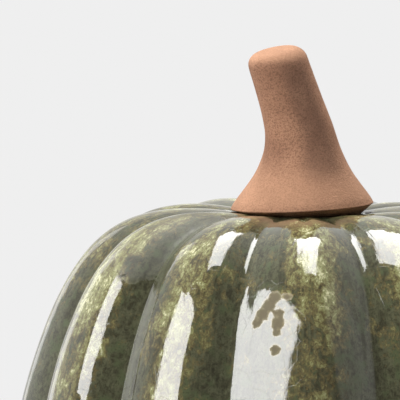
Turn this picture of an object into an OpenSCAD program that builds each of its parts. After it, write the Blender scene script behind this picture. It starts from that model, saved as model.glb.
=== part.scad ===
// Ceramic pumpkin figure: a hollow glazed body with a separate stem glued on.
// Millimetres, +Z up, origin on the body's axis at the surface it stands on.
// The front is -Y.

/* [Body] */
// Width of the body across its fullest lobes
body_w = 204; // [160:1:240]
// Height of the body from its foot ring to its highest lobes
body_h = 185; // [150:1:225]
// Thickness of the cast wall
body_wall = 5; // [3.5:0.5:7]
// Sharpness of the upper shoulder, larger is flatter on top
shoulder_power = 5.76; // [4:0.1:7]
// Taper of the upper side, smaller is more tapered
side_power = 0.52; // [0.3:0.01:1.5]
// Fullness of the underside where it meets the side
belly_power = 4; // [3:0.1:6]
// Roundness of the underside near the foot
foot_power = 2.2; // [1.8:0.1:3]
// Depth of the dimple that the stem stands in
dimple_depth = 5; // [2:0.5:8]
// Radius over which the dimple fades out
dimple_r = 26; // [20:1:40]

/* [Lobes] */
// Depth of the grooves between lobes at the side
groove_depth = 9; // [3:0.5:11]
// Softness of the valley floor, larger is softer
valley_softness = 0.05; // [0.03:0.01:0.3]
// Share of the groove depth that is left beside the stem
top_relief = 0.16; // [0.05:0.01:0.3]
// Depth of the crease that splits the front lobe beside the stem
crease_depth = 1.2; // [0:0.1:1.3]
// How many degrees the grooves stray from straight at the shoulder
lobe_stray = 3.5; // [0:0.5:6]

/* [Foot and openings] */
// Outer radius of the dry foot ring
foot_r = 46; // [38:1:54]
// Width of the foot ring's face
foot_face = 10; // [9:0.5:14]
// How far the base is recessed inside the foot ring
foot_recess = 2.5; // [1:0.5:4]
// Diameter of the vent hole in the base
vent_d = 10; // [6:0.5:14]
// Diameter of the pour hole under the stem
pour_d = 25; // [20:0.5:30]
// Drop from the lobes down to the flat collar around the pour hole
collar_drop = 1.5; // [1:0.1:2.5]

/* [Stem] */
// Height of the stem above its lip
stem_h = 52.5; // [40:0.1:80]
// Radius of the flared lip
stem_rim_r = 24.1; // [22:0.1:30]
// Radius of the straight upper part
stem_neck_r = 10.4; // [9:0.1:13]
// How much the neck narrows on its way to the end face
neck_taper = 0.6; // [0:0.1:2]
// Height over which the flare dies away
flare_h = 13.4; // [8:0.1:18]
// How sharply the flare turns into the neck
flare_power = 1.4; // [1:0.05:2]
// Least thickness of the stem's wall
stem_wall = 3.5; // [3:0.1:5]
// Lean of the upper stem to the left, in degrees
lean_left = 18; // [0:0.5:25]
// Lean of the whole stem to the front, in degrees
lean_front = 8.5; // [0:0.5:15]
// Height at which the stem starts to lean left
bend_h = 24.1; // [15:0.1:35]
// Rounding of the edge around the end face
cap_round = 3.5; // [2:0.1:5]
// Rise of the end face in its middle
cap_dome = 0.8; // [0:0.1:2]
// Tilt of the end face to the left, in degrees
cap_tilt_left = 11; // [0:0.5:20]
// Tilt of the end face to the front, in degrees
cap_tilt_front = 9; // [0:0.5:20]
// Tilt of the lip, higher on the right, in degrees
lip_tilt = 2.8; // [0:0.1:3]
// Width of the lip that overhangs the collar
lip_overhang = 4.2; // [3:0.1:6]
// Clearance under the lip at its lowest point
lip_gap = 0.3; // [0.2:0.1:1]

/* [Stem joint] */
// Length of the spigot that goes into the pour hole
spigot_len = 10; // [7:0.5:15]
// Thickness of the spigot's wall
spigot_wall = 3.5; // [3:0.1:5]
// Clearance around the spigot, filled with adhesive
spigot_clear = 0.5; // [0.3:0.1:1]
// Thickness of the adhesive bed on the collar
bed_t = 0.6; // [0.4:0.1:1]
// Depth of the adhesive sleeve around the spigot
sleeve_len = 4; // [2:0.5:4.5]

/* [Foot pads] */
// Diameter of a pad
pad_d = 8; // [6:0.5:9]
// Thickness of a pad
pad_t = 2; // [1.5:0.1:3]

/* [Hidden] */
$fn = 96;
pad_n = 4;

// Each lobe from the left front round to the right: its width in degrees, the
// height of its crest as a share of the groove depth, where the crest stands
// across the lobe, how round its left and right flanks are, from 1 for a
// straight one to 2 for a full curve, and how soft its crest is
LOBES = [
    [32.5, 1, 0.68, 2, 1.5, 0.15], [24, 0.8, 0.6, 2, 1.5, 0.15],
    [32.5, 0.9, 0.56, 1.1, 1.2, 0.06], [36, 0.95, 0.47, 1.6, 1.7, 0.15],
    [27, 0.8, 0.5, 1.8, 1.8, 0.15], [36, 1, 0.54, 1.7, 1.7, 0.15],
    [26, 0.8, 0.47, 1.8, 1.8, 0.15], [34, 0.95, 0.52, 1.7, 1.7, 0.15],
    [25, 0.8, 0.5, 1.8, 1.8, 0.15], [33, 0.95, 0.47, 1.7, 1.7, 0.15],
    [24, 0.8, 0.52, 1.8, 1.8, 0.15], [30, 0.78, 0.5, 1.7, 1.7, 0.15]
];
// How far each groove strays sideways at the shoulder, as a share of the stray
SWAY = [-0.3, -1, 0.15, 0.4, 0.6, -0.6, 0.3, -0.4, 0.7, -0.6, 0.4, -0.2];
creased_lobe = 2;
crease_at = 0.52;
crease_w = 0.09;
first_groove = -73;
lobe_n = len(LOBES);
lobe_steps = 10;
profile_steps = 21;
stem_sides = 60;
stem_rings = 22;
cap_rings = 5;
spread = 18;
near = 0.001;

// General helpers
function clamp01(v) = min(1, max(0, v));
function smooth(v) = let (c = clamp01(v)) c * c * (3 - 2 * c);
function lerp(a, b, f) = a + (b - a) * f;
function sum_to(list, n) = n <= 0 ? 0 : list[n - 1][0] + sum_to(list, n - 1);

// Crest profile of the body: t runs from 0 on top to 1 underneath
function height_share(t) =
    1 / (1 + spread * pow(t, shoulder_power) / pow(1 - t, foot_power));
function raw_r(u) =
    pow(1 - pow(u, side_power), 1 / shoulder_power)
    * pow(1 - pow(1 - u, belly_power), 1 / foot_power);
raw_max = max([for (i = [1 : 199]) raw_r(i / 200)]);
function crest_r(t) = body_w / 2 * raw_r(height_share(t)) / raw_max;
function crest_z(t) =
    let (r = crest_r(t), top = smooth(height_share(t) * 4 - 2.4))
    pad_t + body_h * height_share(t) - top * dimple_depth * exp(-pow(r / dimple_r, 2));
function crest_p(t) = [crest_r(t), crest_z(t)];
function crest_n(t) =
    let (d = crest_p(t + near) - crest_p(t - near))
    [-d[1], d[0]] / norm(d);

// The t at which the crest profile has radius r, on top or underneath
mid_t = 0.5;
function t_at(r, a, b, n = 30) =
    let (m = (a + b) / 2)
    n == 0 ? m
    : (crest_r(m) < r) == (crest_r(a) < r) ? t_at(r, m, b, n - 1)
    : t_at(r, a, m, n - 1);
t_top = t_at(stem_rim_r, 0.01, mid_t);
t_foot = t_at(foot_r, 0.99, mid_t);

// Grooves and lobes around the body
function stray(i, t) = lobe_stray * SWAY[i] * sin(180 * clamp01(1.7 * t));
function groove_at(i, t) = first_groove + sum_to(LOBES, i) + stray(i % lobe_n, t);
function azimuth(i, f, t) = lerp(groove_at(i, t), groove_at(i + 1, t), f);
function soft(v, s) = (sqrt(v * v + s * s) - s) / (sqrt(1 + s * s) - s);
function arch(i, f) =
    let (
        lobe = LOBES[i],
        crest = lobe[2],
        v = soft(min(f / crest, (1 - f) / (1 - crest)), valley_softness),
        roundness = f < crest ? lobe[3] : lobe[4]
    )
    lobe[1] * (1 - pow(soft(1 - v, lobe[5]), roundness));
function crease(i, f, t) =
    let (fade = 1 - 0.8 * smooth((crest_r(t) - stem_rim_r) / (0.6 * body_w / 2)))
    i == creased_lobe ? fade * exp(-pow((f - crease_at) / crease_w, 2)) : 0;
function relief(t) =
    let (r = crest_r(t))
    t < mid_t
    ? lerp(top_relief, 1, smooth((r - stem_rim_r) / (0.68 * body_w / 2)))
    : smooth((r - foot_r) / (0.4 * body_w / 2));
function inset(i, f, t) =
    relief(t) * groove_depth * (1 - arch(i, f)) + crease_depth * crease(i, f, t);
function skin(i, f, t, deep = 0) = crest_p(t) - (inset(i, f, t) + deep) * crest_n(t);
function around(rz, i, f, t) =
    let (a = azimuth(i, f, t) - 90)
    [rz[0] * cos(a), rz[0] * sin(a), rz[1]];

// Collar, foot and stem seat
lip_z = crest_z(t_top);
collar_r = stem_rim_r - lip_overhang;
collar_z = lip_z - collar_drop;
seat_z = collar_z + bed_t;
spigot_r = pour_d / 2 - spigot_clear;
foot_z = pad_t;
base_z = foot_z + foot_recess;
floor_z = base_z + body_wall;
under = 0.5;

// One closed section of the body at lobe i, share f across the lobe
function section(i, f) = concat(
    [
        around([pour_d / 2 - under, collar_z], i, f, t_top),
        around([collar_r, collar_z], i, f, t_top)
    ],
    [for (k = [0 : profile_steps])
        let (t = lerp(t_top, t_foot, k / profile_steps))
        around(skin(i, f, t), i, f, t)],
    [
        around([foot_r, foot_z], i, f, t_foot),
        around([foot_r - foot_face, foot_z], i, f, t_foot),
        around([foot_r - foot_face, base_z], i, f, t_foot),
        around([vent_d / 2 - under, base_z], i, f, t_foot),
        around([vent_d / 2 - under, floor_z], i, f, t_foot),
        around([foot_r - foot_face, floor_z], i, f, t_foot)
    ],
    [for (k = [profile_steps - 1 : -1 : 1])
        let (t = lerp(t_top, t_foot, k / profile_steps))
        around(skin(i, f, t, body_wall), i, f, t)],
    [
        around([collar_r, collar_z - body_wall], i, f, t_top),
        around([pour_d / 2 - under, collar_z - body_wall], i, f, t_top)
    ]
);
// Share of the width at step k across lobe i, with one step right on the crest
function share(i, k) =
    let (crest = LOBES[i][2], m = round(crest * lobe_steps))
    k < m ? crest * k / m : lerp(crest, 1, (k - m) / (lobe_steps - m));
sections = [
    for (i = [0 : lobe_n - 1]) for (k = [0 : lobe_steps - 1]) section(i, share(i, k))
];

// Faces of a surface made of rings, closed round both ways
function ring_faces(n, m) = [
    for (i = [0 : n - 1]) for (j = [0 : m - 1])
        let (a = i * m, b = ((i + 1) % n) * m, k = (j + 1) % m)
        each [[a + j, b + j, b + k], [a + j, b + k, a + k]]
];

// Stem: its centreline, radius and the tilt of its rings at height h
soft = 2.9;
function stem_x(h) = -tan(lean_left) * soft * ln(1 + exp((h - bend_h) / soft));
function stem_y(h) = -tan(lean_front) * h;
function stem_r(h) =
    stem_neck_r + (stem_rim_r - stem_neck_r) * exp(-pow(h / flare_h, flare_power))
    - neck_taper * smooth((h - bend_h) / (stem_h - bend_h));
end_r = stem_r(stem_h);
function tilt_left(h) = lerp(lip_tilt, cap_tilt_left, smooth(h / stem_h));
function tilt_front(h) = lerp(0, cap_tilt_front, smooth(h / stem_h));
lip_bottom = lip_z + lip_gap + stem_rim_r * tan(lip_tilt);
function stem_p(h, r, a) =
    let (x = r * cos(a), y = r * sin(a))
    [
        stem_x(h) + x,
        stem_y(h) + y,
        lip_bottom + h + x * tan(tilt_left(h)) + y * tan(tilt_front(h))
    ];

// Outer, inner and seat rings of the stem, from the middle of the cap down
function cap_h(r) = stem_h + cap_dome * (1 - pow(r / end_r, 2));
neck_top = stem_h - cap_round;
bore_top = stem_h - stem_wall - 1;
core_r = spigot_r - spigot_wall;
core_start = seat_z + stem_wall - lip_bottom;
stem_outer = concat(
    [for (k = [1 : cap_rings])
        let (r = (end_r - cap_round) * k / cap_rings)
        [cap_h(r), r]],
    [for (k = [1 : cap_rings])
        let (b = 90 * k / cap_rings, r = end_r - cap_round * (1 - sin(b)))
        [lerp(cap_h(r), neck_top, 1 - cos(b)), r]],
    [for (k = [1 : stem_rings])
        let (h = neck_top * pow(1 - k / stem_rings, 1.25))
        [h, stem_r(h)]]
);
stem_inner = concat(
    [for (k = [0 : stem_rings - 6])
        let (h = lerp(core_start + 1, bore_top, k / (stem_rings - 6)))
        [h, min(stem_r(h) - stem_wall, core_r)]],
    [[bore_top + 1, (end_r - stem_wall) / 2]]
);
function stem_ring(h, r) = [for (s = [0 : stem_sides - 1]) stem_p(h, r, 360 * s / stem_sides)];
function flat_ring(z, r) =
    [for (s = [0 : stem_sides - 1]) [r * cos(360 * s / stem_sides), r * sin(360 * s / stem_sides), z]];
stem_rings_all = concat(
    [for (q = stem_outer) stem_ring(q[0], q[1])],
    [flat_ring(seat_z, collar_r), flat_ring(seat_z, core_r + under)],
    [flat_ring(seat_z + stem_wall, core_r + under)],
    [for (q = stem_inner) stem_ring(q[0], q[1])]
);
ring_n = len(stem_rings_all);
cap_middle = stem_p(cap_h(0), 0, 0);
bore_middle = stem_p(bore_top + 1, 0, 0);

function tube_faces(n, m) = [
    for (i = [0 : n - 2]) for (j = [0 : m - 1])
        let (a = i * m, b = (i + 1) * m, k = (j + 1) % m)
        each [[a + j, b + k, b + j], [a + j, a + k, b + k]]
];
function fan(first, middle, m, flip) = [
    for (j = [0 : m - 1])
        let (p = first + j, q = first + (j + 1) % m)
        flip ? [middle, q, p] : [middle, p, q]
];

module body_form() {
    points = [for (s = sections) each s];
    polyhedron(points, ring_faces(len(sections), len(sections[0])), convexity = 6);
}

module body_shell() {
    color("darkolivegreen")
    difference() {
        body_form();
        translate([0, 0, collar_z - 2 * body_wall])
            cylinder(h = 3 * body_wall, d = pour_d);
        translate([0, 0, base_z - body_wall])
            cylinder(h = 3 * body_wall, d = vent_d);
    }
}

module stem_form() {
    m = stem_sides;
    points = concat([for (q = stem_rings_all) each q], [cap_middle, bore_middle]);
    faces = concat(
        fan(0, ring_n * m, m, true),
        tube_faces(ring_n, m),
        fan((ring_n - 1) * m, ring_n * m + 1, m, false)
    );
    polyhedron(points, faces, convexity = 6);
}

module stem() {
    color("peru")
    union() {
        stem_form();
        translate([0, 0, seat_z - spigot_len])
        difference() {
            cylinder(h = spigot_len + stem_wall / 2, r = spigot_r);
            translate([0, 0, -1])
                cylinder(h = spigot_len + stem_wall + 2, r = core_r);
        }
    }
}

module stem_adhesive() {
    color("gainsboro")
    rotate_extrude()
    polygon([
        [spigot_r, seat_z],
        [spigot_r, collar_z - sleeve_len],
        [pour_d / 2, collar_z - sleeve_len],
        [pour_d / 2, collar_z],
        [collar_r - 0.5, collar_z],
        [collar_r - 0.5, seat_z]
    ]);
}

module foot_pad(i) {
    a = 45 + 360 / pad_n * (i - 1);
    r = foot_r - foot_face / 2;
    color("whitesmoke")
    translate([r * cos(a), r * sin(a), 0])
        cylinder(h = pad_t, d = pad_d);
}

body_shell();
stem();
stem_adhesive();
foot_pad(1);  // foot_pad_1
foot_pad(2);  // foot_pad_2
foot_pad(3);  // foot_pad_3
foot_pad(4);  // foot_pad_4
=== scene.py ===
import math

import bpy
import numpy as np
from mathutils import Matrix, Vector, noise


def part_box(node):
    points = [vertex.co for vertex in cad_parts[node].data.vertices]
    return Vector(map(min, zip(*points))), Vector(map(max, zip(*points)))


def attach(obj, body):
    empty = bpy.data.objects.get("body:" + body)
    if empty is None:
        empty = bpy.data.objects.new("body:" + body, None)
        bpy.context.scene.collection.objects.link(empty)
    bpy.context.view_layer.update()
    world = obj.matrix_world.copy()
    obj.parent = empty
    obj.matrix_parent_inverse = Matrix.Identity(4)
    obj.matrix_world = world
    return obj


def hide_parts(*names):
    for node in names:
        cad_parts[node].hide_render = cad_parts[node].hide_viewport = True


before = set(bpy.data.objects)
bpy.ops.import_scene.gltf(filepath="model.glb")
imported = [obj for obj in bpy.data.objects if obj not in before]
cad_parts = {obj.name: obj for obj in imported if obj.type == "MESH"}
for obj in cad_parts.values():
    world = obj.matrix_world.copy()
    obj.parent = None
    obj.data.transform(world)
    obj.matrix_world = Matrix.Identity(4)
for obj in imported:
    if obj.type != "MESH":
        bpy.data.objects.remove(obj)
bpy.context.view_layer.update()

# The figure is worked out in millimetres, as its construction is, and made in metres.
MM = 0.001

# ---------------------------------------------------------------- sizes, in millimetres
BODY_W = 204.0
BODY_H = 185.0
BODY_WALL = 5.0
PAD_T = float(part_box("body_shell")[0][2] / MM)
SHOULDER_POWER = 5.76
SIDE_POWER = 0.52
BELLY_POWER = 4.0
FOOT_POWER = 2.2
SPREAD = 18.0
DIMPLE_DEPTH = 5.0
DIMPLE_R = 26.0
GROOVE_DEPTH = 9.0
VALLEY_SOFTNESS = 0.05
TOP_RELIEF = 0.16
CREASE_DEPTH = 1.2
LOBE_STRAY = 3.5
FIRST_GROOVE = -73.0
# Each lobe: its width in degrees, the height of its crest, where the crest stands
# across the lobe, how round its left and right flanks are, from 1 for a straight
# one to 2 for a full curve, and how soft its crest is
LOBES = np.array([
    (32.5, 1, 0.68, 2.0, 1.5, 0.15), (24, 0.80, 0.60, 2.0, 1.5, 0.15),
    (32.5, 0.90, 0.56, 1.1, 1.2, 0.06), (36, 0.95, 0.47, 1.6, 1.7, 0.15),
    (27, 0.80, 0.50, 1.8, 1.8, 0.15), (36, 1, 0.54, 1.7, 1.7, 0.15),
    (26, 0.80, 0.47, 1.8, 1.8, 0.15), (34, 0.95, 0.52, 1.7, 1.7, 0.15),
    (25, 0.80, 0.50, 1.8, 1.8, 0.15), (33, 0.95, 0.47, 1.7, 1.7, 0.15),
    (24, 0.80, 0.52, 1.8, 1.8, 0.15), (30, 0.78, 0.50, 1.7, 1.7, 0.15),
])
SWAY = np.array([-0.3, -1, 0.15, 0.4, 0.6, -0.6, 0.3, -0.4, 0.7, -0.6, 0.4, -0.2])
CREASED_LOBE = 2
CREASE_AT = 0.52
CREASE_W = 0.09
CREASE_FADE = 0.8
CREASE_REACH = 0.6 * BODY_W / 2
TOP_REACH = 0.68 * BODY_W / 2
FOOT_REACH = 0.4 * BODY_W / 2

FOOT_R = 46.0
FOOT_FACE = 10.0
FOOT_RECESS = 2.5
VENT_R = 5.0
POUR_R = 12.5
COLLAR_DROP = 1.5

STEM_H = 52.5
STEM_RIM_R = 24.1
STEM_NECK_R = 10.4
NECK_TAPER = 0.6
FLARE_H = 13.4
FLARE_POWER = 1.4
STEM_WALL = 3.5
LEAN_LEFT = math.radians(18)
LEAN_FRONT = math.radians(8.5)
BEND_H = 24.1
BEND_SOFT = 2.9
CAP_ROUND = 3.5
CAP_DOME = 0.8
CAP_TILT_LEFT = math.radians(11)
CAP_TILT_FRONT = math.radians(9)
LIP_TILT = math.radians(2.8)
LIP_OVERHANG = 4.2
LIP_GAP = 0.3
# Height of the lip's lowest band, painted darker as shade
PAINTED_LIP_SHADE_H = 2.2
SPIGOT_LEN = 10.0
SPIGOT_R = 12.0
# Azimuth and half width of the band of painted shade on the stem's side, in degrees
PAINTED_SHADE_SIDE = 299
PAINTED_SHADE_WIDTH = 24
CORE_R = 8.5
BED_T = 0.6

# ---------------------------------------------------------------- mesh density
LOBE_STEPS = 26
SKIN_STEPS = 200
INNER_STEPS = 40
STEM_SIDES = 180
STEM_RINGS = 90


def smooth(v):
    """Eases a share from 0 to 1."""
    c = np.clip(v, 0, 1)
    return c * c * (3 - 2 * c)


# ---------------------------------------------------------------- the body's shape
def height_share(t):
    """Share of the body's height at profile place t, from 1 at the top to 0 at the foot."""
    return 1 / (1 + SPREAD * t**SHOULDER_POWER / (1 - t)**FOOT_POWER)


def raw_r(u):
    """Unscaled radius of the outline at share u of the height."""
    top = (1 - u**SIDE_POWER)**(1 / SHOULDER_POWER)
    return top * (1 - (1 - u)**BELLY_POWER)**(1 / FOOT_POWER)


RAW_MAX = raw_r(np.arange(1, 200) / 200).max()


def crest_r(t):
    return BODY_W / 2 * raw_r(height_share(t)) / RAW_MAX


def crest_z(t):
    u = height_share(t)
    dimple = DIMPLE_DEPTH * np.exp(-(crest_r(t) / DIMPLE_R)**2)
    return PAD_T + BODY_H * u - smooth(u * 4 - 2.4) * dimple


def crest_n(t, near=0.001):
    """The crest profile's outward normal, as its parts along the radius and upward."""
    dr = crest_r(t + near) - crest_r(t - near)
    dz = crest_z(t + near) - crest_z(t - near)
    length = np.hypot(dr, dz)
    return -dz / length, dr / length


def t_at(r, a, b):
    """The place on the crest profile, between a and b, where its radius is r."""
    for _ in range(40):
        m = (a + b) / 2
        if (crest_r(m) < r) == (crest_r(a) < r):
            a = m
        else:
            b = m
    return (a + b) / 2


# The profile runs from 0 at the top to 1 under the foot, and is widest close to its middle
MIDWAY = 0.5
T_TOP = t_at(STEM_RIM_R, 0.01, MIDWAY)
T_FOOT = t_at(FOOT_R, 0.99, MIDWAY)
GROOVES = FIRST_GROOVE + np.concatenate([[0], np.cumsum(LOBES[:, 0])])


def groove_at(i, t):
    """Azimuth of groove i in degrees, swaying a little on its way down."""
    way = np.clip(1.7 * t, 0, 1)
    return GROOVES[i] + LOBE_STRAY * SWAY[i % len(LOBES)] * np.sin(np.pi * way)


def azimuth(i, f, t):
    """Azimuth in degrees at share f of lobe i's width."""
    return groove_at(i, t) * (1 - f) + groove_at(i + 1, t) * f


def soft(v, s):
    """A share v from 0 to 1 with its start at 0 rounded over the width s."""
    return (np.sqrt(v * v + s * s) - s) / (math.sqrt(1 + s * s) - s)


def arch(i, f):
    """Height of the lobe at share f of its width, from 0 in the groove to 1 on a full crest."""
    _, height, crest, left, right, softness = LOBES[i]
    v = soft(np.minimum(f / crest, (1 - f) / (1 - crest)), VALLEY_SOFTNESS)
    return height * (1 - soft(1 - v, softness)**(left if f < crest else right))


def crease(i, f, t):
    """The shallow crease that splits the front lobe beside the stem."""
    fade = 1 - CREASE_FADE * smooth((crest_r(t) - STEM_RIM_R) / CREASE_REACH)
    return fade * (math.exp(-((f - CREASE_AT) / CREASE_W)**2) if i == CREASED_LOBE else 0.0)


def relief(t):
    """Share of the grooves' full depth: shallow at the stem and none at the foot ring."""
    r = crest_r(t)
    top = TOP_RELIEF + (1 - TOP_RELIEF) * smooth((r - STEM_RIM_R) / TOP_REACH)
    return np.where(t < MIDWAY, top, smooth((r - FOOT_R) / FOOT_REACH))


def skin(i, f, t, deep=0.0):
    """Points of the body's skin at lobe i, share f of its width and profile places t."""
    nr, nz = crest_n(t)
    d = relief(t) * GROOVE_DEPTH * (1 - arch(i, f)) + CREASE_DEPTH * crease(i, f, t) + deep
    r, z = crest_r(t) - d * nr, crest_z(t) - d * nz
    a = np.radians(azimuth(i, f, t) - 90)
    return np.stack([r * np.cos(a), r * np.sin(a), z], -1)


def spots_along(runs):
    """Round spots set evenly along runs on the skin, as rows of x, y, z and radius.

    A run gives its lobe, its two ends, each as a share of the lobe's width and a distance
    from the axis, and the radius of each spot.
    """
    spots = []
    for lobe, start, end, radii in runs:
        for k, radius in enumerate(radii):
            along = k / max(len(radii) - 1, 1)
            f = start[0] + (end[0] - start[0]) * along
            out = start[1] + (end[1] - start[1]) * along
            spots.append((*skin(lobe, f, t_at(out, T_TOP, MIDWAY)), radius))
    return np.array(spots)


# Places where the glaze dried to a satin skin, and small pits in it
DRY_SPOTS = spots_along([
    (0, (0.825, 71.5), (0.845, 58), (7, 8, 8)),
    (0, (0.88, 46), (0.88, 46), (7,)),
])
PITS = spots_along([
    (CREASED_LOBE, (0.325, 82.25), (0.315, 85.25), (1.5, 2, 1.4)),
    (CREASED_LOBE, (0.31, 87.75), (0.31, 87.75), (1.7,)),
    (CREASED_LOBE, (0.16, 83.5), (0.285, 79), (1.6, 2.1, 2.1, 1.9)),
    (CREASED_LOBE, (0.385, 79.25), (0.385, 79.25), (1.2,)),
])


def nearness(points, spots):
    """1 at the middle of the nearest round spot, 2/3 at its edge and 0 well outside it."""
    away = np.linalg.norm(points[..., None, :] - spots[:, :3], axis=-1)
    return np.clip(1 - away / spots[:, 3] / 3, 0, 1).max(-1)


LIP_Z = float(crest_z(T_TOP))
COLLAR_R = STEM_RIM_R - LIP_OVERHANG
COLLAR_Z = LIP_Z - COLLAR_DROP
SEAT_Z = COLLAR_Z + BED_T
BASE_Z = PAD_T + FOOT_RECESS
FLOOR_Z = BASE_Z + BODY_WALL


# ---------------------------------------------------------------- mesh helpers
def arc(r, z, radius, start, stop, steps=5):
    """Points of a rounded corner in the profile plane, angles in degrees."""
    angles = np.radians(np.linspace(start, stop, steps))
    return [(r + radius * math.cos(a), z + radius * math.sin(a)) for a in angles]


def mesh_object(name, points, faces, sharp=50):
    mesh = bpy.data.meshes.new(name)
    mesh.from_pydata([tuple(p) for p in points * MM], [], faces)
    mesh.validate()
    mesh.shade_smooth()
    mesh.set_sharp_from_angle(angle=math.radians(sharp))
    obj = bpy.data.objects.new(name, mesh)
    bpy.context.scene.collection.objects.link(obj)
    return obj


def add_values(obj, name, values):
    """Stores one number or one vector per point for the materials."""
    values = np.asarray(values, dtype=np.float32)
    if values.ndim == 1:
        obj.data.attributes.new(name, "FLOAT", "POINT").data.foreach_set("value", values)
    else:
        layer = obj.data.attributes.new(name, "FLOAT_VECTOR", "POINT")
        layer.data.foreach_set("vector", values.ravel())


# ---------------------------------------------------------------- glazed body
# The glaze is laid out on a round tube of this radius, with the arc length as its height
FLOW_R = 100
LUMP_SIZE = 24
LUMP_HEIGHT = 0.22
FINE_SIZE = (7, 7, 16)
FINE_HEIGHT = 0.05
POUR_ROUND = 0.6
FOOT_ROUND = 1.0
FOOT_INNER_ROUND = 0.8
VENT_ROUND = 0.5
CHAMFER = 0.3


def ripple(points):
    """The uneven hand-made surface under the glaze, in millimetres along the normal."""
    out = np.empty(len(points))
    for k, p in enumerate(points):
        wide = noise.noise(Vector(p) / LUMP_SIZE)
        scaled = Vector([p[axis] / FINE_SIZE[axis] for axis in range(3)])
        fine = noise.noise(scaled + Vector((9, 4, 2)))
        out[k] = LUMP_HEIGHT * wide + FINE_HEIGHT * fine
    return out


def share(i, k):
    """Share of the width at step k across lobe i, with one step right on the crest."""
    crest = LOBES[i][2]
    m = round(crest * LOBE_STEPS)
    return crest * k / m if k < m else crest + (1 - crest) * (k - m) / (LOBE_STEPS - m)


def body_columns():
    """Grids of the skin, the inside, the place in the glaze's flow and the lobe height."""
    t = np.linspace(T_TOP, T_FOOT, SKIN_STEPS + 1)
    steps = np.hypot(np.diff(crest_r(t)), np.diff(crest_z(t)))
    arc_length = np.concatenate([[0], np.cumsum(steps)])
    t_in = np.linspace(T_FOOT, T_TOP, INNER_STEPS + 1)[1:-1]
    grid, inner, flow, height = [], [], [], []
    for i in range(len(LOBES)):
        for k in range(LOBE_STEPS):
            f = share(i, k)
            grid.append(skin(i, f, t))
            inner.append(skin(i, f, t_in, BODY_WALL))
            a = np.radians(azimuth(i, f, t) - 90)
            flow.append(np.stack([np.cos(a) * FLOW_R, np.sin(a) * FLOW_R, arc_length], -1))
            height.append(np.full(len(t), arch(i, f)))
    return (np.array(v) for v in (grid, inner, flow, height))


def make_body():
    """The glazed shell: each column runs from the pour hole over the skin to the inside."""
    grid, inner, flow, height = body_columns()
    # Push the skin in and out a little, but not where the stem and the foot meet it
    normal = np.cross(np.roll(grid, -1, 0) - np.roll(grid, 1, 0), np.gradient(grid, axis=1))
    normal /= np.linalg.norm(normal, axis=-1, keepdims=True)
    if (normal[..., 0] * grid[..., 0] + normal[..., 1] * grid[..., 1]).mean() < 0:
        normal = -normal
    r = np.hypot(grid[..., 0], grid[..., 1])
    steady = smooth((r - STEM_RIM_R - 2) / 12) * smooth((grid[..., 2] - PAD_T - 3) / 14)
    bumps = ripple(grid.reshape(-1, 3)).reshape(r.shape)
    grid = grid + normal * (bumps * steady)[..., None]

    # The rest of each section: collar and pour hole above, foot, vent and cavity below
    foot_in_r = FOOT_R - FOOT_FACE
    top = [(POUR_R, COLLAR_Z - BODY_WALL)]
    top += arc(POUR_R + POUR_ROUND, COLLAR_Z - POUR_ROUND, POUR_ROUND, 180, 90, 4)
    top += [(COLLAR_R - 0.4, COLLAR_Z), (COLLAR_R, COLLAR_Z + 0.2)]
    top += [(COLLAR_R + 1.6, LIP_Z - 0.45)]
    low = arc(FOOT_R - FOOT_ROUND, PAD_T + FOOT_ROUND, FOOT_ROUND, 0, -90)
    low += arc(foot_in_r + FOOT_INNER_ROUND, PAD_T + FOOT_INNER_ROUND, FOOT_INNER_ROUND, -90, -180)
    low += [(foot_in_r, BASE_Z - CHAMFER), (foot_in_r - 0.4, BASE_Z)]
    low += arc(VENT_R + VENT_ROUND, BASE_Z + VENT_ROUND, VENT_ROUND, -90, -180, 4)
    low += [(VENT_R, FLOOR_Z - CHAMFER), (VENT_R + CHAMFER, FLOOR_Z), (foot_in_r, FLOOR_Z)]
    end = [(COLLAR_R, COLLAR_Z - BODY_WALL)]

    def ring_points(profile, place):
        cos, sin = flow[:, place, 0] / FLOW_R, flow[:, place, 1] / FLOW_R
        rings = [np.stack([r * cos, r * sin, np.full(len(cos), z)], -1) for r, z in profile]
        return np.stack(rings, 1)

    parts = [ring_points(top, 0), grid, ring_points(low, -1), inner, ring_points(end, 0)]
    points = np.concatenate(parts, 1)
    columns, rows = points.shape[:2]
    skin_from = len(top)
    skin_to = skin_from + SKIN_STEPS
    index = np.arange(columns * rows).reshape(columns, rows)
    faces, bare = [], []
    for c in range(columns):
        a, b = index[c], index[(c + 1) % columns]
        for k in range(rows):
            n = (k + 1) % rows
            faces.append((a[k], a[n], b[n], b[k]))
            bare.append(0 if 1 <= k < skin_to else 1)
    body = mesh_object("body_glazed_shell", points.reshape(-1, 3), faces)
    body.data.polygons.foreach_set("material_index", bare)

    def spread(values):
        """The skin's values for all points: carried over the collar, 0 elsewhere."""
        full = np.zeros((columns, rows) + values.shape[2:])
        full[:, skin_from:skin_to + 1] = values
        full[:, :skin_from] = values[:, :1]
        return full.reshape(-1, *values.shape[2:])

    add_values(body, "flow", spread(flow) * MM)
    add_values(body, "lobe_height", spread(height))
    add_values(body, "dry", spread(nearness(grid, DRY_SPOTS)))
    add_values(body, "pit", spread(nearness(grid, PITS)))
    return body


# ---------------------------------------------------------------- stem
LIP_BOTTOM = LIP_Z + LIP_GAP + STEM_RIM_R * math.tan(LIP_TILT)


def stem_r(h):
    flare = (STEM_RIM_R - STEM_NECK_R) * np.exp(-(np.maximum(h, 0) / FLARE_H)**FLARE_POWER)
    return STEM_NECK_R + flare - NECK_TAPER * smooth((h - BEND_H) / (STEM_H - BEND_H))


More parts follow.
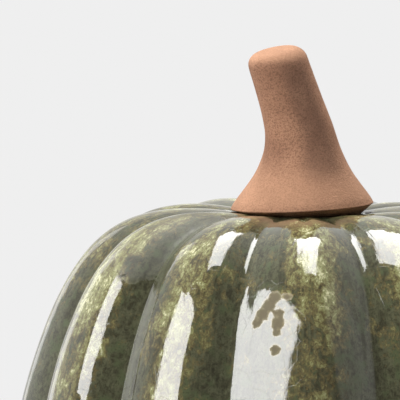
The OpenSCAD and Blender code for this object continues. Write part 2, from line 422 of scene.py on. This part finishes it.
def stem_ring(h, r):
    """A ring round the leaning, bending stem, at height h above its lip."""
    a = np.linspace(0, 2 * np.pi, STEM_SIDES, endpoint=False)
    x, y = r * np.cos(a), r * np.sin(a)
    ease = smooth(h / STEM_H)
    left = LIP_TILT + (CAP_TILT_LEFT - LIP_TILT) * ease
    front = CAP_TILT_FRONT * ease
    bend = math.log(1 + math.exp((h - BEND_H) / BEND_SOFT))
    px = x - math.tan(LEAN_LEFT) * BEND_SOFT * bend
    py = y - math.tan(LEAN_FRONT) * h
    return np.stack([px, py, LIP_BOTTOM + h + x * np.tan(left) + y * np.tan(front)], -1)


def flat_ring(z, r):
    a = np.linspace(0, 2 * np.pi, STEM_SIDES, endpoint=False)
    return np.stack([r * np.cos(a), r * np.sin(a), np.full(STEM_SIDES, z)], -1)


def make_stem():
    """The stem from the middle of its cap, down its outside and spigot, and up its core."""
    end_r = float(stem_r(STEM_H))
    neck_top = STEM_H - CAP_ROUND

    def cap_h(r):
        return STEM_H + CAP_DOME * (1 - (r / end_r)**2)

    outer = [(cap_h(r), r) for r in np.linspace(0.05, end_r - CAP_ROUND, 14)]
    for b in np.linspace(0, math.pi / 2, 12)[1:]:
        r = end_r - CAP_ROUND * (1 - math.sin(b))
        outer.append((cap_h(r) * math.cos(b) + neck_top * (1 - math.cos(b)), r))
    for k in range(1, STEM_RINGS + 1):
        h = neck_top * (1 - k / STEM_RINGS)**1.15
        if h > 0.5:
            outer.append((h, float(stem_r(h))))
    lip = [(0.42, STEM_RIM_R - 0.02), (0.2, STEM_RIM_R), (0.07, STEM_RIM_R - 0.07)]
    lip.append((0.0, STEM_RIM_R - 0.25))
    rings = [stem_ring(h, r) for h, r in outer + lip]
    on_face = len(rings)
    bottom = SEAT_Z - SPIGOT_LEN
    rings += [flat_ring(SEAT_Z, COLLAR_R), flat_ring(SEAT_Z, SPIGOT_R + 0.3)]
    rings += [flat_ring(SEAT_Z - 0.3, SPIGOT_R), flat_ring(bottom + 0.5, SPIGOT_R)]
    rings += [flat_ring(bottom, SPIGOT_R - 0.5), flat_ring(bottom, CORE_R + 0.4)]
    rings += [flat_ring(bottom + 0.4, CORE_R), flat_ring(SEAT_Z + STEM_WALL, CORE_R)]
    core_from = SEAT_Z + STEM_WALL - LIP_BOTTOM + 1
    bore_top = STEM_H - STEM_WALL - 1
    for h in np.linspace(core_from, bore_top, 24):
        rings.append(stem_ring(h, min(float(stem_r(h)) - STEM_WALL, CORE_R)))
    rings.append(stem_ring(bore_top + 1, (end_r - STEM_WALL) / 2))
    rings.append(stem_ring(bore_top + 1, 0.05))
    points = np.array(rings)
    # The hand-turned outside is never quite round
    for k in range(on_face):
        fade = smooth((points[k][:, 2] - LIP_BOTTOM - 1) / 8)
        axis = points[k].mean(0)
        for s in range(STEM_SIDES):
            p = Vector(points[k][s])
            push = 0.16 * noise.noise(p / 11) + 0.05 * noise.noise(p / 3.5)
            out = points[k][s] - axis
            length = math.hypot(out[0], out[1])
            if length > 3:
                points[k][s][:2] += out[:2] / length * push * fade[s]
    n, m = points.shape[:2]
    index = np.arange(n * m).reshape(n, m)
    faces = [tuple(index[0])]
    for k in range(n - 1):
        for s in range(m):
            e = (s + 1) % m
            faces.append((index[k][s], index[k + 1][s], index[k + 1][e], index[k][e]))
    faces.append(tuple(index[-1][::-1]))
    stem = mesh_object("stem_clay", points.reshape(-1, 3), faces, sharp=60)
    heights = np.concatenate([np.full(m, h) for h, _ in outer + lip] + [np.zeros((n - on_face) * m)])
    # One side of the clay is painted browner as shade, from below the cap down to the flare
    around = np.tile(np.linspace(0, 360, m, endpoint=False), n) - PAINTED_SHADE_SIDE
    up = heights / STEM_H
    across = smooth(1.5 - np.abs(around) / PAINTED_SHADE_WIDTH)
    add_values(stem, "painted_side_shade", across * smooth(up * 5 - 0.6) * smooth(5.2 - up * 5))
    # The lip's lowest band, which gets painted shade
    outside = np.arange(n * m) < on_face * m
    add_values(stem, "lip", np.clip(1 - heights / PAINTED_LIP_SHADE_H, 0, 1) * outside)
    return stem


# ---------------------------------------------------------------- node helpers
class Nodes:
    """Short names for the nodes that the materials are made of."""

    def __init__(self, name):
        self.material = bpy.data.materials.new(name)
        self.material.use_nodes = True
        self.tree = self.material.node_tree
        self.shader = self.tree.nodes["Principled BSDF"]

    def link(self, source, socket):
        if isinstance(source, (int, float, tuple)):
            socket.default_value = source
        else:
            self.tree.links.new(source, socket)

    def add(self, kind, **settings):
        node = self.tree.nodes.new(kind)
        for key, value in settings.items():
            setattr(node, key, value)
        return node

    def attribute(self, name, output="Fac"):
        return self.add("ShaderNodeAttribute", attribute_name=name).outputs[output]

    def place(self):
        return self.add("ShaderNodeTexCoord").outputs["Object"]

    def stretch(self, vector, scale):
        node = self.add("ShaderNodeMapping")
        self.link(vector, node.inputs["Vector"])
        node.inputs["Scale"].default_value = scale
        return node.outputs["Vector"]

    def noise(self, vector, scale, detail=4.0, rough=0.55, distort=0.0):
        node = self.add("ShaderNodeTexNoise")
        self.link(vector, node.inputs["Vector"])
        node.inputs["Scale"].default_value = scale
        node.inputs["Detail"].default_value = detail
        node.inputs["Roughness"].default_value = rough
        node.inputs["Distortion"].default_value = distort
        return node.outputs["Fac"]

    def cracks(self, vector, scale):
        node = self.add("ShaderNodeTexVoronoi", feature="DISTANCE_TO_EDGE")
        self.link(vector, node.inputs["Vector"])
        node.inputs["Scale"].default_value = scale
        return node.outputs["Distance"]

    def math(self, operation, a, b):
        node = self.add("ShaderNodeMath", operation=operation)
        self.link(a, node.inputs[0])
        self.link(b, node.inputs[1])
        return node.outputs[0]

    def band(self, value, low, high, to_low=0.0, to_high=1.0):
        node = self.add("ShaderNodeMapRange", interpolation_type="SMOOTHSTEP")
        self.link(value, node.inputs["Value"])
        limits = {"From Min": low, "From Max": high, "To Min": to_low, "To Max": to_high}
        for name, number in limits.items():
            node.inputs[name].default_value = number
        return node.outputs["Result"]

    def mix(self, share, a, b, blend="MIX"):
        node = self.add("ShaderNodeMix", data_type="RGBA", blend_type=blend)
        self.link(share, node.inputs["Factor"])
        for source, socket in ((a, node.inputs[6]), (b, node.inputs[7])):
            if isinstance(source, tuple):
                socket.default_value = (*source, 1.0)
            else:
                self.tree.links.new(source, socket)
        return node.outputs[2]

    def bump(self, height, distance, strength=1.0, normal=None):
        node = self.add("ShaderNodeBump")
        node.inputs["Strength"].default_value = strength
        node.inputs["Distance"].default_value = distance
        self.link(height, node.inputs["Height"])
        if normal is not None:
            self.tree.links.new(normal, node.inputs["Normal"])
        return node.outputs["Normal"]


# ---------------------------------------------------------------- materials
DARK_OLIVE = (0.046, 0.044, 0.024)
OLIVE = (0.092, 0.094, 0.052)
PALE_STREAK = (0.115, 0.118, 0.066)
DARK_FLECK = (0.024, 0.022, 0.012)
DARK_HAIR = (0.022, 0.021, 0.011)
MOSS = (0.074, 0.088, 0.042)
AMBER = (0.150, 0.108, 0.042)
YELLOW = (0.220, 0.222, 0.094)
CREAM = (0.580, 0.560, 0.330)
SPECK = (0.034, 0.030, 0.017)
PIT_RIM = (0.380, 0.300, 0.140)
PIT_BROWN = (0.060, 0.042, 0.014)
GLAZE_IOR = 1.7
# Heights in metres between which the glaze thins towards the shoulder
SHOULDER_LOW = 0.060
SHOULDER_HIGH = 0.176


def glaze_material():
    n = Nodes("olive_reactive_glaze")
    flow = n.attribute("flow", "Vector")
    height = n.attribute("lobe_height")
    place = n.place()
    runs = n.stretch(flow, (1.0, 1.0, 0.85))
    streaks = n.noise(n.stretch(flow, (1.0, 1.0, 0.07)), 700, 5, 0.6)
    hairs = n.noise(n.stretch(flow, (1.0, 1.0, 0.05)), 1900, 3, 0.6)
    clouds = n.noise(runs, 75, 5, 0.6, 0.3)
    patches = n.noise(runs, 240, 6, 0.70, 0.9)
    flecks = n.noise(runs, 800, 4, 0.7, 0.5)
    grain = n.noise(place, 1700, 3, 0.65)
    up = n.add("ShaderNodeSeparateXYZ")
    n.link(place, up.inputs[0])
    shoulder = n.band(up.outputs["Z"], SHOULDER_LOW, SHOULDER_HIGH)

    # Where the glaze runs thin, over a crest and on the shoulder, it breaks to yellow and cream
    thin = n.math("MULTIPLY", n.band(height, 0.30, 0.95), 0.14)
    for part, weight in ((shoulder, 0.17), (clouds, 0.50), (patches, 0.55), (flecks, 0.40)):
        thin = n.math("ADD", thin, n.math("MULTIPLY", part, weight))

    # The satin and the pitted places get ragged edges from the same noise
    uneven = n.math("MULTIPLY", n.math("SUBTRACT", patches, 0.5), 0.6)
    dry = n.band(n.math("ADD", n.attribute("dry"), uneven), 0.42, 0.74)
    ragged = n.math("MULTIPLY", n.math("SUBTRACT", flecks, 0.5), 0.30)
    pit = n.math("ADD", n.attribute("pit"), ragged)
    thin = n.math("SUBTRACT", thin, n.math("MULTIPLY", dry, 0.04))

    olive = n.mix(n.band(patches, 0.36, 0.62), DARK_OLIVE, OLIVE)
    olive = n.mix(n.band(streaks, 0.42, 0.72, 0.0, 0.65), olive, PALE_STREAK)
    olive = n.mix(n.band(flecks, 0.46, 0.64, 0.0, 0.65), olive, DARK_FLECK)
    olive = n.mix(n.band(hairs, 0.55, 0.75, 0.0, 0.35), olive, DARK_HAIR)
    green = n.mix(n.band(n.noise(runs, 190, 4, 0.6), 0.50, 0.66), olive, MOSS)
    amber = n.mix(n.band(thin, 0.91, 1.00, 0.0, 0.65), green, AMBER)
    broken = n.mix(n.band(thin, 0.97, 1.08), amber, YELLOW)
    cream = n.mix(n.band(thin, 1.06, 1.19), broken, CREAM)
    speckled = n.mix(0.6, cream, n.mix(n.band(grain, 0.54, 0.66), cream, SPECK))
    rimmed = n.mix(n.band(pit, 0.50, 0.60, 0.0, 0.35), speckled, PIT_RIM)
    pitted = n.mix(n.band(pit, 0.64, 0.76, 0.0, 0.55), rimmed, PIT_BROWN)
    n.link(pitted, n.shader.inputs["Base Color"])

    # The broken, crystalline glaze is less glossy than the dark glass round it
    gloss = n.band(streaks, 0.3, 0.7, 0.020, 0.040)
    crystals = n.math("ADD", thin, n.math("MULTIPLY", grain, 0.10))
    dull = n.band(crystals, 1.10, 1.22, 0.0, 0.34)
    dull = n.math("MAXIMUM", dull, n.math("MULTIPLY", dry, 0.60))
    dull = n.math("MAXIMUM", dull, n.band(pit, 0.58, 0.66, 0.0, 0.75))
    n.link(n.math("ADD", gloss, dull), n.shader.inputs["Roughness"])
    n.shader.inputs["IOR"].default_value = GLAZE_IOR
    lumps = n.bump(n.noise(runs, 160, 1, 0.5), 0.00012)
    wobble = n.bump(n.noise(runs, 330, 1, 0.5), 0.00004, 1.0, lumps)
    fine = n.bump(streaks, 0.00002, 1.0, wobble)
    crazing = n.bump(n.band(n.cracks(place, 160), 0.0, 0.012), 0.00001, 0.6, fine)
    n.link(crazing, n.shader.inputs["Normal"])
    return n.material


# The light, dark and sandy brown tone of each clay
PEACH_CLAY = ((0.46, 0.245, 0.150), (0.34, 0.176, 0.108), (0.13, 0.062, 0.038))
FOOT_CLAY = ((0.60, 0.50, 0.38), (0.48, 0.38, 0.28), (0.30, 0.20, 0.13))
# Painted light: paler clay on faces that look up
PAINTED_TOP_LIGHT_CLAY = (0.55, 0.305, 0.182)
# Painted shade on one side of the stem
PAINTED_SHADE_CLAY = (0.150, 0.085, 0.060)
# Painted shade at the lip's lowest edge
PAINTED_LIP_SHADE_CLAY = (0.20, 0.095, 0.05)
EPOXY = ((0.72, 0.68, 0.55), (0.82, 0.79, 0.68))
RUBBER = ((0.78, 0.78, 0.75), (0.60, 0.58, 0.53))


def clay_nodes(name, light, dark, brown):
    """Unglazed clay with a sandy grain. Returns the nodes and its colour."""
    n = Nodes(name)
    place = n.place()
    clouds = n.noise(place, 90, 4, 0.55)
    sand = n.noise(place, 1900, 2, 0.6, 0.6)
    pits = n.noise(place, 800, 2, 0.5)
    colour = n.mix(n.band(clouds, 0.35, 0.68), dark, light)
    colour = n.mix(n.band(sand, 0.42, 0.66, 0.0, 0.62), colour, brown)
    n.shader.inputs["Specular IOR Level"].default_value = 0.25
    n.link(n.band(sand, 0.3, 0.7, 0.82, 0.95), n.shader.inputs["Roughness"])
    normal = n.bump(sand, 0.00030, 1.0, n.bump(pits, 0.00025, 0.7))
    n.link(normal, n.shader.inputs["Normal"])
    return n, colour


def stem_material():
    n, colour = clay_nodes("peach_terracotta", *PEACH_CLAY)
    # Painted light and shade: paler where it faces up as painted light, browner on one side and
    # darker at the edge of the lip as painted shade
    facing = n.add("ShaderNodeSeparateXYZ")
    n.link(n.add("ShaderNodeNewGeometry").outputs["Normal"], facing.inputs[0])
    colour = n.mix(n.band(facing.outputs["Z"], 0.12, 0.62, 0.0, 0.5), colour, PAINTED_TOP_LIGHT_CLAY)
    colour = n.mix(n.math("MULTIPLY", n.attribute("painted_side_shade"), 0.42), colour, PAINTED_SHADE_CLAY)
    edge = n.band(n.attribute("lip"), 0.80, 0.98)
    colour = n.mix(n.math("MULTIPLY", edge, 0.6), colour, PAINTED_LIP_SHADE_CLAY)
    n.link(colour, n.shader.inputs["Base Color"])
    return n.material


def bisque_material():
    n, colour = clay_nodes("bare_foot_clay", *FOOT_CLAY)
    n.link(colour, n.shader.inputs["Base Color"])
    return n.material


def adhesive_material():
    n = Nodes("cured_epoxy")
    clouds = n.noise(n.place(), 400, 3)
    n.link(n.mix(n.band(clouds, 0.3, 0.7), *EPOXY), n.shader.inputs["Base Color"])
    n.link(n.band(clouds, 0.3, 0.7, 0.18, 0.35), n.shader.inputs["Roughness"])
    n.link(n.bump(clouds, 0.0002, 0.6), n.shader.inputs["Normal"])
    return n.material


def pad_material():
    n = Nodes("white_bumper_rubber")
    dust = n.noise(n.place(), 900, 4)
    n.link(n.mix(n.band(dust, 0.45, 0.75), *RUBBER), n.shader.inputs["Base Color"])
    n.link(n.band(dust, 0.3, 0.7, 0.45, 0.65), n.shader.inputs["Roughness"])
    n.link(n.bump(dust, 0.0001, 0.5), n.shader.inputs["Normal"])
    return n.material


def dress(obj, material):
    """Gives a carried-over solid its finish."""
    if obj.material_slots:
        for slot in obj.material_slots:
            slot.material = material
    else:
        obj.data.materials.append(material)


# ---------------------------------------------------------------- the pieces
body = make_body()
body.data.materials.append(glaze_material())
body.data.materials.append(bisque_material())
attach(body, "root")
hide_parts("body_shell")

stem = make_stem()
stem.data.materials.append(stem_material())
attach(stem, "root")
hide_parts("stem")

adhesive = adhesive_material()
rubber = pad_material()
for name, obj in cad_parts.items():
    if name == "stem_adhesive":
        dress(obj, adhesive)
    elif name.startswith("foot_pad"):
        dress(obj, rubber)


# ---------------------------------------------------------------- floor, light and camera
LIT_CENTRE = Vector((0, 0, 0.15))
SOFTBOX_AWAY = 1.6
WHITE = (0.863, 0.863, 0.863, 1)
FLOOR_GREY = (0.36, 0.36, 0.36, 1)
FLOOR_RADIUS = 6.0
FADE_FROM = 0.25
FADE_TO = 0.8
ROOM_STRENGTH = 0.12
SWEEP_STRENGTH = 1.0
CAMERA_AWAY = 1.35
CAMERA_UP = math.radians(5)
CAMERA_FOV = math.radians(5.735)
CAMERA_PIVOT = Vector((0, 0, 0.187))
CAMERA_TARGET = Vector((-0.0345, 0, 0.18832))
SENSOR_W = 36.0


def make_floor():
    """A pale floor that fades into the white all round it."""
    rings, sides = 24, 96
    around = np.linspace(0, 2 * np.pi, sides, endpoint=False)
    points = [(0.0, 0.0, 0.0)]
    for k in range(1, rings + 1):
        r = FLOOR_RADIUS * (k / rings)**2
        points += [(r * math.cos(a), r * math.sin(a), 0) for a in around]
    faces = [(0, 1 + s, 1 + (s + 1) % sides) for s in range(sides)]
    for k in range(rings - 1):
        a, b = 1 + k * sides, 1 + (k + 1) * sides
        faces += [(a + s, b + s, b + (s + 1) % sides, a + (s + 1) % sides) for s in range(sides)]
    floor = mesh_object("floor", np.array(points) / MM, faces)
    n = Nodes("pale_floor")
    length = n.add("ShaderNodeVectorMath", operation="LENGTH")
    n.link(n.place(), length.inputs[0])
    n.shader.inputs["Base Color"].default_value = FLOOR_GREY
    n.shader.inputs["Roughness"].default_value = 0.9
    glow = n.add("ShaderNodeEmission")
    glow.inputs["Color"].default_value = WHITE
    blend = n.add("ShaderNodeMixShader")
    n.link(n.band(length.outputs["Value"], FADE_FROM, FADE_TO), blend.inputs["Fac"])
    n.tree.links.new(n.shader.outputs[0], blend.inputs[1])
    n.tree.links.new(glow.outputs[0], blend.inputs[2])
    n.tree.links.new(blend.outputs[0], n.tree.nodes["Material Output"].inputs["Surface"])
    floor.data.materials.append(n.material)


def make_world():
    """A white sweep behind and beside the figure, and a dimmer room in front of it."""
    world = bpy.data.worlds.new("studio")
    world.use_nodes = True
    bpy.context.scene.world = world
    tree = world.node_tree
    back = tree.nodes["Background"]
    place = tree.nodes.new("ShaderNodeTexCoord")
    split = tree.nodes.new("ShaderNodeSeparateXYZ")
    tree.links.new(place.outputs["Generated"], split.inputs[0])
    ramp = tree.nodes.new("ShaderNodeMapRange")
    ramp.interpolation_type = "SMOOTHSTEP"
    tree.links.new(split.outputs["Y"], ramp.inputs["Value"])
    limits = {"From Min": -0.55, "From Max": 0.55, "To Min": ROOM_STRENGTH, "To Max": SWEEP_STRENGTH}
    for name, number in limits.items():
        ramp.inputs[name].default_value = number
    # The camera itself sees the full white all round
    path = tree.nodes.new("ShaderNodeLightPath")
    seen = tree.nodes.new("ShaderNodeMath")
    seen.operation = "MAXIMUM"
    tree.links.new(ramp.outputs["Result"], seen.inputs[0])
    tree.links.new(path.outputs["Is Camera Ray"], seen.inputs[1])
    tree.links.new(seen.outputs[0], back.inputs["Strength"])
    back.inputs["Color"].default_value = WHITE


def softbox(name, azimuth_deg, elevation_deg, width_deg, height_deg, radiance):
    """A rectangular soft light seen from the figure at the given angles."""
    a, e = math.radians(azimuth_deg), math.radians(elevation_deg)
    away = Vector((math.sin(a) * math.cos(e), -math.cos(a) * math.cos(e), math.sin(e)))
    light = bpy.data.lights.new(name, "AREA")
    light.shape = "RECTANGLE"
    light.size = 2 * SOFTBOX_AWAY * math.tan(math.radians(width_deg) / 2)
    light.size_y = 2 * SOFTBOX_AWAY * math.tan(math.radians(height_deg) / 2)
    light.energy = radiance * math.pi * light.size * light.size_y
    lamp = bpy.data.objects.new(name, light)
    lamp.location = LIT_CENTRE + away * SOFTBOX_AWAY
    lamp.rotation_euler = away.to_track_quat("Z", "Y").to_euler()
    bpy.context.scene.collection.objects.link(lamp)


def make_camera():
    data = bpy.data.cameras.new("camera")
    data.sensor_width = SENSOR_W
    data.lens = SENSOR_W / (2 * math.tan(CAMERA_FOV / 2))
    data.clip_start = 0.05
    data.clip_end = 50
    camera = bpy.data.objects.new("camera", data)
    back = Vector((0, -math.cos(CAMERA_UP), math.sin(CAMERA_UP)))
    camera.location = CAMERA_PIVOT + CAMERA_AWAY * back
    looking = CAMERA_TARGET - camera.location
    camera.rotation_euler = looking.to_track_quat("-Z", "Y").to_euler()
    bpy.context.scene.collection.objects.link(camera)
    bpy.context.scene.camera = camera


bpy.context.scene.view_settings.view_transform = "Standard"
make_floor()
make_world()
# Each softbox: azimuth, elevation, width and height in degrees as the figure sees it, and radiance
softbox("key_left_front", -57, 32, 36, 30, 8.6)
softbox("overhead", 176, 81, 26, 52, 8.5)
softbox("rim_left_back", -142, 18, 14, 44, 1.25)
softbox("veil_right", 70, 31, 26, 36, 0.3)
make_camera()
